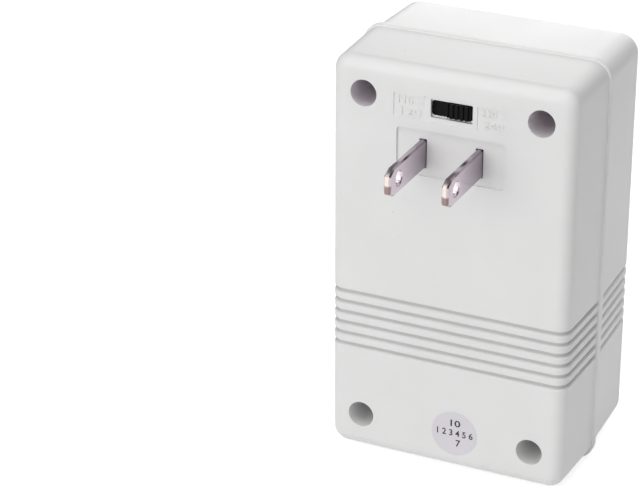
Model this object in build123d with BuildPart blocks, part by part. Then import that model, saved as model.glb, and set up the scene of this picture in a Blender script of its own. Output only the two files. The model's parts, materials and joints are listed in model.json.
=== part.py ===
from build123d import *
from math import atan, degrees, radians, tan
import os

# A travel voltage converter: a two-shell housing with a universal socket on its
# front, and two flat blades and a selector switch on its back.
# Millimetres. X runs to the right as seen from the socket side, Y from the
# socket side to the blade side, Z up. The pieces are drawn from the middle of
# the rim band's bottom strip. They are saved with the origin on the rear face,
# midway between the blades, where a wall outlet holds the converter.

# Housing: two tapered shells and the raised band that covers their seam
band_width = 56.7
band_height = 94.9
band_depth = 2.0
band_corner = 4.6
band_edge = 0.4
front_step = 0.45
rear_step = 0.4
foot_step = 0.4
front_reach = 21.2
rear_reach = 18.1
draft_angle = 1.8
front_corner = 4.9
rear_corner = 4.2
front_edge = 4.1
rear_edge = 3.1
wall = 2.2
lip_wall = 1.0
lip_depth = 1.3
lip_gap = 0.05
overrun = 1.0

# Grip ribs: the grooves between them run round both shells
groove_top = 39.3
groove_pitch = 2.55
groove_count = 6
groove_depth = 0.65
groove_floor = 0.45
groove_flare = 0.42

# Housing screws, in deep wells of the rear shell
screw_edge = 8.45
screw_low_z = 9.7
screw_drop = 8.6
well_diameter = 6.0
well_wall = 1.3
well_floor = 4.0
boss_diameter = 7.0
screw_diameter = 2.6
screw_length = 14.0
head_diameter = 5.2
head_height = 1.9
recess_share = 0.54
slot_share = 0.14
sink_share = 0.6
dome_share = 0.35
thread_gap = 0.05
shank_gap = 0.3

# Universal socket: openings for flat, round and rectangular pins. Every drop
# is a distance down from the top of the band.
earth_high_drop = 14.7
earth_high_diameter = 7.7
earth_low_drop = 22.2
earth_low_diameter = 6.8
earth_top_drop = 8.3
earth_top_width = 5.3
earth_neck_width = 3.1
earth_foot_drop = 26.0
earth_foot_width = 3.9
pin_outer_x = 14.95
pin_low_drop = 37.6
pin_high_drop = 33.05
ramp_outer_x = 11.65
ramp_inner_x = 11.05
ramp_high_drop = 31.8
flat_outer_x = 7.9
flat_inner_x = 5.25
flat_high_drop = 29.8
foot_inner_x = 4.1
foot_outer_x = 7.3
foot_high_drop = 36.0
foot_low_drop = 38.7

# Contact carrier, its retainer and the three spring contacts
carrier_front_depth = 5.7
carrier_depth = 15.3
carrier_wall = 1.5
carrier_corner = 1.5
pocket_gap = 0.6
aperture_gap = 0.1
retainer_depth = 1.5
retainer_screw_x = 13.4
retainer_screw_drop = 26.95
retainer_screw_diameter = 2.0
retainer_screw_length = 7.0
retainer_head_diameter = 3.6
retainer_head_height = 1.2
contact_sheet = 0.4
contact_bend = 0.6
contact_flare = 1.0
contact_pinch = 0.35
contact_throat = 2.5
contact_knee = 1.6
contact_seat = 0.3
pin_gap = 3.9
earth_gap = 4.3
tail_width = 3.0
tail_length = 5.0
tail_gap = 0.2
pin_tail_x = 11.5
earth_tail_drop = 16.7

# Flat blades of the wall plug
blade_spacing = 12.7
blade_width = 6.35
blade_thickness = 1.5
blade_reach = 18.2
blade_drop = 20.0
blade_hole_diameter = 3.1
blade_hole_reach = 13.6
blade_hole_bevel = 0.25
blade_nose_width = 3.9
blade_nose_length = 2.2
blade_bevel = 0.35
blade_gap = 0.1
shoulder_width = 9.4
blade_tail_width = 4.4
blade_tail_length = 4.5
solder_hole_diameter = 1.6
panel_width = 24.5
panel_height = 10.4
panel_drop = 19.85
panel_depth = 0.5
panel_corner = 0.8

# Clamp that holds the blades and the switch against the rear shell
clamp_depth = 2.0
clamp_foot = 3.0
clamp_head_room = 4.45
clamp_shoulder = 5.0
clamp_arm_height = 7.6
clamp_corner = 1.2
clamp_screw_inset = 4.3
clamp_post_diameter = 5.2
clamp_post_margin = 0.6
clamp_screw_diameter = 2.0
clamp_screw_length = 6.2
clamp_head_diameter = 3.8
clamp_head_height = 1.3
fit_gap = 0.05

# Selector switch
window_width = 9.4
window_height = 4.1
window_drop = 9.45
window_wall = 1.0
window_corner = 0.25
surround_width = 11.2
surround_height = 5.4
surround_shift_x = 0.55
surround_shift_z = 0.25
surround_depth = 0.25
switch_width = 17.6
switch_height = 6.9
switch_sheet = 0.5
switch_ear = 2.4
switch_can_depth = 5.2
switch_window_corner = 0.7
switch_window_lap = 0.35
switch_base_depth = 1.3
knob_width = 5.6
knob_corner = 0.6
knob_height = 3.2
knob_proud = 0.85
knob_ridges = 5
knob_ridge_depth = 0.35
ridge_share = 0.42
knob_travel = 3.3
flange_end_gap = 0.3
flange_depth = 1.2
slide_gap = 0.08
carriage_width = 6.4
carriage_depth = 1.2
wiper_width = 4.6
wiper_height = 1.2
wiper_sheet = 0.25
terminal_row = 3.2
terminal_width = 1.3
terminal_sheet = 0.4
terminal_length = 3.4
pad_width = 2.3
pad_height = 1.5
pad_depth = 0.25

# Sunken text fields beside the switch and the faint label field on the front
field_width = 7.2
field_height = 5.2
field_offset = 9.4
field_drop = 9.8
field_depth = 0.2
label_width = 37.6
label_height = 7.0
label_z = 19.0
label_depth = 0.15

# Transformer: E and I laminations, two-chamber bobbin and two windings
core_margin = 3.6
core_headroom = 1.6
core_side_room = 8.4
core_low_z = 15.4
core_hole_diameter = 3.4
core_screw_diameter = 2.9
core_screw_length = 23.5
core_head_diameter = 5.4
core_head_height = 1.8
core_post_diameter = 6.6
window_share = 1 / 6
bobbin_gap = 0.15
bobbin_wall = 0.9
flange_wall = 1.0
flange_margin = 0.35
winding_margin = 0.9
winding_corner = 2.6
tape_thickness = 0.25
lug_count = 5
lug_pitch = 4.6
lug_block_depth = 3.0
lug_block_height = 3.0
lug_diameter = 0.9
lug_length = 4.0
fuse_diameter = 2.9
fuse_length = 9.5
fuse_y = 4.6

# Internal wires: each leaves its terminal square and reaches its lug from above
wire_diameter = 1.0
wire_bend_share = 0.45
wire_drop = 7.2
wire_reach = 6.4
wire_lift = 0.6
switch_wire_reach = 7.1
switch_wire_drop = 9.4
switch_wire_knee = 3.2

# Indicator light with its little board
light_z = 8.15
light_hole_diameter = 3.2
light_diameter = 3.0
light_flange_diameter = 3.7
light_flange_depth = 0.9
light_sink = 1.0
light_body_depth = 4.6
board_width = 16.0
board_height = 9.6
board_depth = 1.2
board_low_z = 4.6
rail_wall = 1.5
rail_grip = 0.7
rail_gap = 0.1
resistor_diameter = 2.0
resistor_length = 5.6
resistor_z = 11.8
diode_diameter = 1.7
diode_length = 3.6
diode_z = 7.4
lead_diameter = 0.6
lead_reach = 2.0
part_lift = 0.3

# Round inspection sticker on the rear shell, left plain
sticker_diameter = 10.6
sticker_x = -2.5
sticker_z = 10.15
sticker_thickness = 0.12

# Places that follow from the sizes above
front_seam = -band_depth / 2
rear_seam = band_depth / 2
front_face = front_seam - front_reach
rear_face = rear_seam + rear_reach
front_inner = front_face + wall
rear_inner = rear_face - wall
core_stack = 2 * (min(rear_inner, -front_inner) - core_side_room)
mid_z = band_height / 2
shell_z = mid_z + foot_step / 2
front_width = band_width - 2 * front_step
front_height = band_height - 2 * front_step - foot_step
rear_width = band_width - 2 * rear_step
rear_height = band_height - 2 * rear_step - foot_step
cavity_corner = rear_corner - wall
screw_x = band_width / 2 - screw_edge
clamp_screw_x = screw_x - clamp_screw_inset
screw_high_z = band_height - screw_drop
earth_high_z = band_height - earth_high_drop
earth_low_z = band_height - earth_low_drop
earth_top_z = band_height - earth_top_drop
earth_foot_z = band_height - earth_foot_drop
pin_low_z = band_height - pin_low_drop
pin_high_z = band_height - pin_high_drop
pin_centre_z = (pin_low_z + pin_high_z) / 2
ramp_high_z = band_height - ramp_high_drop
flat_high_z = band_height - flat_high_drop
foot_high_z = band_height - foot_high_drop
foot_low_z = band_height - foot_low_drop
retainer_screw_z = band_height - retainer_screw_drop
earth_tail_z = band_height - earth_tail_drop
blade_z = band_height - blade_drop
panel_z = band_height - panel_drop
window_z = band_height - window_drop
field_z = band_height - field_drop
screw_places = [(x, z) for x in (-screw_x, screw_x) for z in (screw_low_z, screw_high_z)]
blade_places = (-blade_spacing / 2, blade_spacing / 2)
flange_width = switch_width - 2 * switch_sheet - knob_travel - 2 * flange_end_gap
groove_levels = [groove_top - i * groove_pitch for i in range(groove_count)]

os.makedirs("parts", exist_ok=True)


def from_front(y):
    """Upright plane at depth y that faces the socket side: X to the right, Z up."""
    return Plane(origin=(0, y, 0), x_dir=(1, 0, 0), z_dir=(0, -1, 0))


def from_rear(y):
    """Upright plane at depth y that faces the blade side: minus X to the right, Z up."""
    return Plane(origin=(0, y, 0), x_dir=(-1, 0, 0), z_dir=(0, 1, 0))


def from_side(x):
    """Upright plane at x that faces plus X: Y to the right, Z up."""
    return Plane(origin=(x, 0, 0), x_dir=(0, 1, 0), z_dir=(1, 0, 0))


def save(piece, name):
    """Name the finished piece, move it to the saved origin and write it."""
    placed = piece.moved(Location((0, -rear_face, -blade_z)))
    placed.label = name
    export_step(placed, "parts/" + name + ".step")


def groove_ring(width, seam, face, edge, level):
    """Bevelled groove round three sides of a tapered shell, at one level."""
    outward = 1 if face > seam else -1
    lean = tan(radians(draft_angle))
    start = seam - outward * overrun
    half_start = width / 2 + overrun * lean
    half_face = width / 2 - abs(face - seam) * lean
    with BuildPart() as core:
        with BuildSketch(Plane.XY.offset(level)) as section:
            with BuildLine():
                Polyline(
                    (-half_start, start),
                    (half_start, start),
                    (half_face, face),
                    (-half_face, face),
                    close=True,
                )
            make_face()
            fillet(section.vertices().sort_by(Axis.Y)[::outward][-2:], edge)
            offset(amount=-groove_depth)
        extrude(amount=groove_floor / 2, both=True)
        ends = core.faces().filter_by(Axis.Z).sort_by(Axis.Z)
        flare_angle = -degrees(atan(groove_depth / groove_flare))
        extrude(ends[0], amount=groove_flare, taper=flare_angle)
        extrude(ends[-1], amount=groove_flare, taper=flare_angle)
    with BuildPart() as ring:
        with BuildSketch(from_front(seam)):
            with Locations((0, level)):
                Rectangle(band_width, groove_floor + 2 * groove_flare)
        extrude(amount=-outward * (abs(face - seam) + overrun))
        add(core.part, mode=Mode.SUBTRACT)
    return ring.part


front_grooves = [
    groove_ring(front_width, front_seam, front_face, front_edge, level) for level in groove_levels
]
rear_grooves = [
    groove_ring(rear_width, rear_seam, rear_face, rear_edge, level) for level in groove_levels
]

# Outline of the earth opening: two round lobes, a square top and a round foot
with BuildSketch() as earth_aperture:
    with Locations((0, earth_high_z)):
        Circle(earth_high_diameter / 2)
    with Locations((0, earth_low_z)):
        Circle(earth_low_diameter / 2)
    with Locations((0, earth_top_z)):
        Rectangle(earth_top_width, earth_top_z - earth_high_z, align=(Align.CENTER, Align.MAX))
    with Locations((0, earth_low_z)):
        Rectangle(earth_neck_width, earth_high_z - earth_low_z, align=(Align.CENTER, Align.MIN))
        Rectangle(earth_foot_width, earth_low_z - earth_foot_z, align=(Align.CENTER, Align.MAX))
    with Locations((0, earth_foot_z)):
        Circle(earth_foot_width / 2)

# Outline of the right-hand pin opening; the left-hand one is its mirror image
with BuildSketch() as pin_aperture:
    with BuildLine():
        Polyline(
            (pin_outer_x, pin_low_z),
            (pin_outer_x, pin_high_z),
            (ramp_outer_x, pin_high_z),
            (ramp_inner_x, ramp_high_z),
            (flat_outer_x, ramp_high_z),
            (flat_outer_x, flat_high_z),
            (flat_inner_x, flat_high_z),
            (flat_inner_x, foot_high_z),
            (foot_inner_x, foot_high_z),
            (foot_inner_x, foot_low_z),
            (foot_outer_x, foot_low_z),
            (foot_outer_x, pin_low_z),
            close=True,
        )
    make_face()

with BuildSketch() as socket_apertures:
    add(earth_aperture.sketch)
    add(pin_aperture.sketch)
    mirror(pin_aperture.sketch, about=Plane.YZ)

# Front cover: tapered shell, rim band, socket openings, bosses and rails. The
# transformer core is as wide as the shell and the carrier above it allow.
carrier_low_z = foot_low_z - pocket_gap - carrier_wall
core_shape = 1 / 2 + 2 * window_share
core_width = min(
    front_width - 2 * (wall + core_margin),
    (carrier_low_z - core_headroom - core_low_z) / core_shape,
)
core_height = core_width * core_shape
core_high_z = core_low_z + core_height
core_hole_x = core_width * (1 - window_share) / 2
core_hole_low_z = core_low_z + core_width * window_share / 2
core_hole_high_z = core_high_z - core_width * window_share / 2
core_places = [
    (x, z) for x in (-core_hole_x, core_hole_x) for z in (core_hole_low_z, core_hole_high_z)
]
rail_x = board_width / 2 + (rail_wall - rail_grip) / 2
rail_width = rail_wall + rail_grip
board_y = front_face + light_sink + light_body_depth
rail_back = board_y + board_depth + rail_wall

with BuildPart() as band:
    with BuildSketch(from_front(rear_seam)):
        with Locations((0, mid_z)):
            RectangleRounded(band_width, band_height, band_corner)
    extrude(amount=band_depth)
    fillet(band.faces().sort_by(Axis.Y)[0].edges(), band_edge)
    fillet(band.faces().sort_by(Axis.Y)[-1].edges(), band_edge)

with BuildPart() as front_cover:
    with BuildSketch(from_front(front_seam)):
        with Locations((0, shell_z)):
            RectangleRounded(front_width, front_height, front_corner)
    extrude(amount=front_reach, taper=draft_angle)
    fillet(front_cover.faces().sort_by(Axis.Y)[0].edges(), front_edge)
    for ring in front_grooves:
        add(ring, mode=Mode.SUBTRACT)
    add(band.part)
    with BuildSketch(from_front(rear_seam)):
        with Locations((0, shell_z)):
            RectangleRounded(front_width - 2 * wall, front_height - 2 * wall, cavity_corner)
    extrude(amount=rear_seam - front_inner, taper=draft_angle, mode=Mode.SUBTRACT)
    with BuildSketch(from_front(rear_seam)):
        with Locations((0, shell_z)):
            RectangleRounded(
                front_width - 2 * (wall - lip_wall - lip_gap),
                front_height - 2 * (wall - lip_wall - lip_gap),
                cavity_corner + lip_wall,
            )
    extrude(amount=lip_depth + lip_gap, mode=Mode.SUBTRACT)
    with BuildSketch(from_front(rear_seam)):
        with Locations(screw_places):
            Circle(boss_diameter / 2)
    extrude(amount=rear_seam - front_face - wall / 2)
    with BuildSketch(from_front(rear_seam)):
        with Locations(screw_places):
            Circle(screw_diameter / 2 + thread_gap)
    extrude(amount=screw_length, mode=Mode.SUBTRACT)
    with BuildSketch(from_front(-core_stack / 2)):
        with Locations(core_places):
            Circle(core_post_diameter / 2)
    extrude(amount=-core_stack / 2 - front_face - wall / 2)
    with BuildSketch(from_front(-core_stack / 2)):
        with Locations(core_places):
            Circle(core_screw_diameter / 2 + thread_gap)
    extrude(amount=core_screw_length - core_stack + overrun, mode=Mode.SUBTRACT)
    with BuildSketch(from_front(rail_back)):
        with Locations((-rail_x, board_low_z - rail_wall), (rail_x, board_low_z - rail_wall)):
            Rectangle(rail_width, board_height, align=(Align.CENTER, Align.MIN))
    extrude(amount=rail_back - front_face - wall / 2)
    with BuildSketch(from_front(board_y + board_depth + rail_gap)):
        with Locations((0, board_low_z)):
            Rectangle(
                board_width + 2 * rail_gap, board_height + overrun, align=(Align.CENTER, Align.MIN)
            )
    extrude(amount=board_depth + 2 * rail_gap, mode=Mode.SUBTRACT)
    with BuildSketch(from_front(front_inner + overrun)):
        add(socket_apertures.sketch)
    extrude(amount=wall + 2 * overrun, mode=Mode.SUBTRACT)
    with BuildSketch(from_front(front_inner + overrun)):
        with Locations((0, light_z)):
            Circle(light_hole_diameter / 2)
    extrude(amount=wall + 2 * overrun, mode=Mode.SUBTRACT)
    with BuildSketch(from_front(front_face + label_depth)):
        with Locations((0, label_z)):
            Rectangle(label_width, label_height)
    extrude(amount=label_depth + overrun, mode=Mode.SUBTRACT)
save(front_cover.part, "front_cover")

# Rear cover: tapered shell with lip, screw wells, blade slots and switch window
switch_face = rear_face - window_wall
base_face = switch_face - switch_can_depth
clamp_face = base_face - switch_base_depth
clamp_screw_places = [(-clamp_screw_x, blade_z), (clamp_screw_x, blade_z)]
pocket_width = switch_width + 2 * switch_ear + 2 * fit_gap
pocket_height = switch_height + 2 * fit_gap

with BuildPart() as rear_cover:
    with BuildSketch(from_rear(rear_seam)):
        with Locations((0, shell_z)):
            RectangleRounded(rear_width, rear_height, rear_corner)
    extrude(amount=rear_reach, taper=draft_angle)
    fillet(rear_cover.faces().sort_by(Axis.Y)[-1].edges(), rear_edge)
    for ring in rear_grooves:
        add(ring, mode=Mode.SUBTRACT)
    with BuildSketch(from_front(rear_seam)):
        with Locations((0, shell_z)):
            RectangleRounded(
                front_width - 2 * (wall - lip_wall),
                front_height - 2 * (wall - lip_wall),
                cavity_corner + lip_wall,
            )
    extrude(amount=lip_depth)
    with BuildSketch(from_rear(rear_seam - lip_depth)):
        with Locations((0, shell_z)):
            RectangleRounded(front_width - 2 * wall, front_height - 2 * wall, cavity_corner)
    extrude(amount=rear_inner - rear_seam + lip_depth, taper=draft_angle, mode=Mode.SUBTRACT)
    with BuildSketch(from_rear(rear_seam)):
        with Locations(screw_places):
            Circle(well_diameter / 2 + well_wall)
    extrude(amount=rear_reach - wall / 2)
    with BuildSketch(from_rear(rear_seam + well_floor)):
        with Locations(screw_places):
            Circle(well_diameter / 2)
    extrude(amount=rear_reach, mode=Mode.SUBTRACT)
    with BuildSketch(from_rear(rear_seam - overrun)):
        with Locations(screw_places):
            Circle(screw_diameter / 2 + shank_gap)
    extrude(amount=well_floor + 2 * overrun, mode=Mode.SUBTRACT)
    with BuildSketch(from_rear(clamp_face)):
        with Locations(clamp_screw_places):
            Circle(clamp_post_diameter / 2)
    extrude(amount=rear_face - wall / 2 - clamp_face)
    with BuildSketch(from_rear(clamp_face)):
        with Locations(clamp_screw_places):
            Circle(clamp_screw_diameter / 2 + thread_gap)
    extrude(amount=clamp_screw_length - clamp_depth + fit_gap, mode=Mode.SUBTRACT)
    with BuildSketch(from_rear(rear_inner - overrun)):
        with Locations((0, window_z)):
            Rectangle(pocket_width, pocket_height)
    extrude(amount=wall - window_wall + overrun, mode=Mode.SUBTRACT)
    with BuildSketch(from_rear(rear_inner - overrun)):
        with Locations((0, window_z)):
            RectangleRounded(window_width, window_height, window_corner)
    extrude(amount=wall + 2 * overrun, mode=Mode.SUBTRACT)
    with BuildSketch(from_rear(rear_face - surround_depth)):
        with Locations((-surround_shift_x, window_z - surround_shift_z)):
            Rectangle(surround_width, surround_height)
    extrude(amount=surround_depth + overrun, mode=Mode.SUBTRACT)
    with BuildSketch(from_rear(rear_face - field_depth)):
        with Locations((-field_offset, field_z), (field_offset, field_z)):
            Rectangle(field_width, field_height)
    extrude(amount=field_depth + overrun, mode=Mode.SUBTRACT)
    with BuildSketch(from_rear(rear_face - panel_depth)):
        with Locations((0, panel_z)):
            RectangleRounded(panel_width, panel_height, panel_corner)
    extrude(amount=panel_depth + overrun, mode=Mode.SUBTRACT)
    with BuildSketch(from_rear(rear_inner - overrun)):
        with Locations((blade_places[0], blade_z), (blade_places[1], blade_z)):
            Rectangle(blade_thickness + 2 * blade_gap, blade_width + 2 * blade_gap)
    extrude(amount=wall + 2 * overrun, mode=Mode.SUBTRACT)
save(rear_cover.part, "rear_cover")


def cross_screw(diameter, length, head_size, head_tall):
    """Pan-head screw along minus Z with a cross recess; its head rests at zero."""
    with BuildPart() as screw:
        Cylinder(diameter / 2, length, align=(Align.CENTER, Align.CENTER, Align.MAX))
        chamfer(screw.edges().sort_by(Axis.Z)[0], diameter / 4)
        Cylinder(head_size / 2, head_tall, align=(Align.CENTER, Align.CENTER, Align.MIN))
        chamfer(screw.edges().sort_by(Axis.Z)[-1], head_tall / 2, head_tall * dome_share)
        with BuildSketch(Plane.XY.offset(head_tall)):
            Rectangle(head_size * recess_share, head_size * slot_share)
            Rectangle(head_size * slot_share, head_size * recess_share)
        extrude(amount=-head_tall * sink_share, mode=Mode.SUBTRACT)
    return screw.part


def spread(piece, places, plane):
    """Copies of one piece at several places of a plane, as separate solids."""
    return Compound(
        [piece.moved(plane.location * Location((x, z, 0))).solid() for x, z in places]
    )


def bent_strip(plane, points, bend, sheet, side, width):
    """Strip of sheet metal bent along a line of points, then as wide as given."""
    with BuildPart() as strip:
        with BuildSketch(plane):
            with BuildLine():
                FilletPolyline(*points, radius=bend)
                offset(amount=sheet, side=side)
            make_face()
        extrude(amount=width)
    return strip.part


# Four housing screws at the foot of the wells
housing_screw = cross_screw(screw_diameter, screw_length, head_diameter, head_height)
housing_screws = spread(housing_screw, screw_places, from_rear(rear_seam + well_floor))
save(housing_screws, "housing_screws")

# Contact carrier: T-shaped moulding behind the openings, with three pockets
carrier_half_width = pin_outer_x + pocket_gap + carrier_wall
carrier_shelf_z = flat_high_z + pocket_gap + carrier_wall
carrier_neck_half_width = earth_high_diameter / 2 + pocket_gap + carrier_wall
carrier_high_z = earth_top_z + pocket_gap + carrier_wall
carrier_back = front_inner + carrier_depth
pocket_front = front_inner + carrier_front_depth
retainer_places = [(-retainer_screw_x, retainer_screw_z), (retainer_screw_x, retainer_screw_z)]

with BuildSketch() as carrier_outline:
    with Locations((0, carrier_low_z)):
        Rectangle(
            2 * carrier_half_width,
            carrier_shelf_z - carrier_low_z,
            align=(Align.CENTER, Align.MIN),
        )
        Rectangle(
            2 * carrier_neck_half_width,
            carrier_high_z - carrier_low_z,
            align=(Align.CENTER, Align.MIN),
        )
    with Locations(retainer_places):
        Circle(retainer_head_diameter / 2 + carrier_wall / 2)
    fillet(carrier_outline.vertices().group_by(Axis.Y)[0], carrier_corner)
    fillet(carrier_outline.vertices().group_by(Axis.Y)[-1], carrier_corner)

pin_pocket_width = pin_outer_x - foot_inner_x + 2 * pocket_gap
pin_pocket_height = flat_high_z - foot_low_z + 2 * pocket_gap
pin_pocket_x = (pin_outer_x + foot_inner_x) / 2
pin_pocket_z = (flat_high_z + foot_low_z) / 2
earth_pocket_low_z = earth_foot_z - earth_foot_width / 2 - pocket_gap
earth_pocket_height = earth_top_z + pocket_gap - earth_pocket_low_z

with BuildPart() as contact_carrier:
    with BuildSketch(from_front(carrier_back)):
        add(carrier_outline.sketch)
    extrude(amount=carrier_depth)
    with BuildSketch(from_front(carrier_back)):
        with Locations((-pin_pocket_x, pin_pocket_z), (pin_pocket_x, pin_pocket_z)):
            Rectangle(pin_pocket_width, pin_pocket_height)
        with Locations((0, earth_pocket_low_z)):
            Rectangle(
                2 * (carrier_neck_half_width - carrier_wall),
                earth_pocket_height,
                align=(Align.CENTER, Align.MIN),
            )
    extrude(amount=carrier_back - pocket_front, mode=Mode.SUBTRACT)
    with BuildSketch(from_front(pocket_front + overrun)):
        add(socket_apertures.sketch)
        offset(amount=aperture_gap, kind=Kind.INTERSECTION)
    extrude(amount=carrier_front_depth + 2 * overrun, mode=Mode.SUBTRACT)
    with BuildSketch(from_front(carrier_back)):
        with Locations(retainer_places):
            Circle(retainer_screw_diameter / 2 + thread_gap)
    extrude(amount=retainer_screw_length, mode=Mode.SUBTRACT)
save(contact_carrier.part, "contact_carrier")

# Retainer plate that closes the carrier, with a slot for each solder tail
retainer_back = carrier_back + retainer_depth
tail_places = [(-pin_tail_x, pin_centre_z), (pin_tail_x, pin_centre_z), (0, earth_tail_z)]

with BuildPart() as contact_retainer:
    with BuildSketch(from_front(retainer_back)):
        add(carrier_outline.sketch)
        with Locations(retainer_places):
            Circle(retainer_screw_diameter / 2 + thread_gap, mode=Mode.SUBTRACT)
        with Locations(tail_places):
            Rectangle(
                tail_width + 2 * tail_gap, contact_sheet + 2 * tail_gap, mode=Mode.SUBTRACT
            )
    extrude(amount=retainer_depth)
save(contact_retainer.part, "contact_retainer")

retainer_screw = cross_screw(
    retainer_screw_diameter, retainer_screw_length, retainer_head_diameter, retainer_head_height
)
save(spread(retainer_screw, retainer_places, from_rear(retainer_back)), "retainer_screws")

# Spring contacts: paired leaves with flared mouths, joined by a web at the back
mouth_y = pocket_front + contact_seat
web_y = carrier_back - contact_seat - contact_sheet
throat_y = mouth_y + contact_throat
knee_y = throat_y + contact_knee
leaf_start = flat_outer_x + contact_seat + 2 * contact_sheet
leaf_end = pin_outer_x + pocket_gap - contact_seat


def leaf_pair(plane, centre, gap, width):
    """Two leaves with a pinched throat and a flared mouth, as one bent strip."""
    upper = [
        (mouth_y, centre + gap / 2 + contact_flare),
        (throat_y, centre + gap / 2 - contact_pinch),
        (knee_y, centre + gap / 2),
        (web_y, centre + gap / 2),
    ]
    lower = [(y, 2 * centre - z) for y, z in reversed(upper)]
    return bent_strip(plane, upper + lower, contact_bend, contact_sheet, Side.LEFT, width)


def solder_tail(x, z):
    """Flat tail that leaves the web through the retainer."""
    with BuildPart() as tail:
        with BuildSketch(from_rear(web_y)):
            with Locations((-x, z)):
                Rectangle(tail_width, contact_sheet)
        extrude(amount=contact_sheet + contact_seat + retainer_depth + tail_length)
    return tail.part


pin_leaves = leaf_pair(from_side(leaf_start), pin_centre_z, pin_gap, leaf_end - leaf_start)
blade_leaf_x = blade_spacing / 2 + blade_thickness / 2 + contact_seat
blade_leaf_points = [
    (blade_leaf_x + contact_flare / 2, mouth_y),
    (blade_leaf_x, throat_y),
    (blade_leaf_x + contact_pinch, knee_y),
    (blade_leaf_x + contact_pinch, web_y),
    (leaf_start + contact_flare, web_y),
]
blade_leaf = bent_strip(
    Plane.XY.offset(pin_low_z + contact_flare),
    blade_leaf_points,
    contact_bend,
    contact_sheet,
    Side.LEFT,
    flat_high_z - pin_low_z - contact_flare - contact_seat,
)

with BuildPart() as contact_right:
    add(pin_leaves)
    add(blade_leaf)
    add(solder_tail(pin_tail_x, pin_centre_z))
save(contact_right.part, "contact_right")

with BuildPart() as contact_left:
    mirror(contact_right.part, about=Plane.YZ)
save(contact_left.part, "contact_left")

earth_leaf_low_z = earth_pocket_low_z + contact_seat
earth_leaf_high_z = earth_top_z
earth_leaves = mirror(
    leaf_pair(from_side(0), 0, earth_gap, earth_leaf_high_z - earth_leaf_low_z).rotate(Axis.Y, -90),
    about=Plane.YZ,
).moved(Location((0, 0, earth_leaf_low_z)))

with BuildPart() as contact_earth:
    add(earth_leaves)
    add(solder_tail(0, earth_tail_z))
save(contact_earth.part, "contact_earth")

# Flat blades with shoulders behind the rear wall and a solder tail
blade_tip_y = rear_face + blade_reach


def blade(x):
    """One flat blade, its holes along X, with bevelled edges and nose."""
    half = blade_width / 2
    nose = blade_nose_width / 2
    shoulder = shoulder_width / 2
    tail = blade_tail_width / 2
    outline = [
        (clamp_face - clamp_depth - blade_tail_length, tail),
        (clamp_face, tail),
        (clamp_face, shoulder),
        (rear_inner, shoulder),
        (rear_inner, half),
        (blade_tip_y - blade_nose_length, half),
        (blade_tip_y, nose),
    ]
    lower = [(y, -z) for y, z in reversed(outline)]
    with BuildPart() as flat:
        with BuildSketch(from_side(x - blade_thickness / 2)):
            with BuildLine():
                Polyline(*[(y, blade_z + z) for y, z in outline + lower], close=True)
            make_face()
            with Locations((rear_face + blade_hole_reach, blade_z)):
                Circle(blade_hole_diameter / 2, mode=Mode.SUBTRACT)
            with Locations((clamp_face - clamp_depth - blade_tail_length / 2, blade_z)):
                Circle(solder_hole_diameter / 2, mode=Mode.SUBTRACT)
        extrude(amount=blade_thickness)
        rim = [
            edge
            for side in flat.faces().filter_by(Axis.X).sort_by(SortBy.AREA)[-2:]
            for edge in side.edges().filter_by(GeomType.LINE)
            if edge.center().Y > rear_face
        ]
        chamfer(rim, blade_bevel)
        hole_rims = flat.edges().filter_by(GeomType.CIRCLE).group_by(SortBy.RADIUS)[-1]
        chamfer(hole_rims, blade_hole_bevel)
    return flat.part


save(blade(blade_places[0]), "blade_left")
save(blade(blade_places[1]), "blade_right")

# Clamp plate screwed to two posts: it presses the blades and the switch outward
clamp_low_z = blade_z - clamp_arm_height / 2 - clamp_foot
clamp_high_z = window_z + clamp_head_room
clamp_arm_width = 2 * (clamp_screw_x + clamp_post_diameter / 2 + clamp_post_margin)
clamp_width = clamp_arm_width - 2 * clamp_shoulder

with BuildPart() as rear_clamp:
    with BuildSketch(from_front(clamp_face)) as clamp_outline:
        with Locations((0, clamp_low_z)):
            Rectangle(
                clamp_width, clamp_high_z - clamp_low_z, align=(Align.CENTER, Align.MIN)
            )
        with Locations((0, blade_z)):
            Rectangle(clamp_arm_width, clamp_arm_height)
        fillet(clamp_outline.vertices(), clamp_corner)
        with Locations((blade_places[0], blade_z), (blade_places[1], blade_z)):
            Rectangle(
                blade_thickness + 2 * blade_gap,
                blade_tail_width + 2 * blade_gap,
                mode=Mode.SUBTRACT,
            )
        with Locations(clamp_screw_places):
            Circle(clamp_screw_diameter / 2 + thread_gap, mode=Mode.SUBTRACT)
        with Locations((0, window_z)):
            Rectangle(
                2 * knob_travel + terminal_width + 2 * part_lift,
                terminal_row + terminal_sheet + 2 * part_lift,
                mode=Mode.SUBTRACT,
            )
    extrude(amount=clamp_depth)
save(rear_clamp.part, "rear_clamp")

clamp_screw = cross_screw(
    clamp_screw_diameter, clamp_screw_length, clamp_head_diameter, clamp_head_height
)
save(spread(clamp_screw, clamp_screw_places, from_front(clamp_face - clamp_depth)), "clamp_screws")

# Selector switch: sheet-metal frame with ears, open towards the clamp
frame_window_height = window_height - 2 * switch_window_lap
knob_rest_x = -knob_travel / 2
flange_back = switch_face - switch_sheet - slide_gap
flange_front = flange_back - flange_depth
carriage_front = flange_front - carriage_depth
pad_face = base_face + pad_depth

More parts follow.
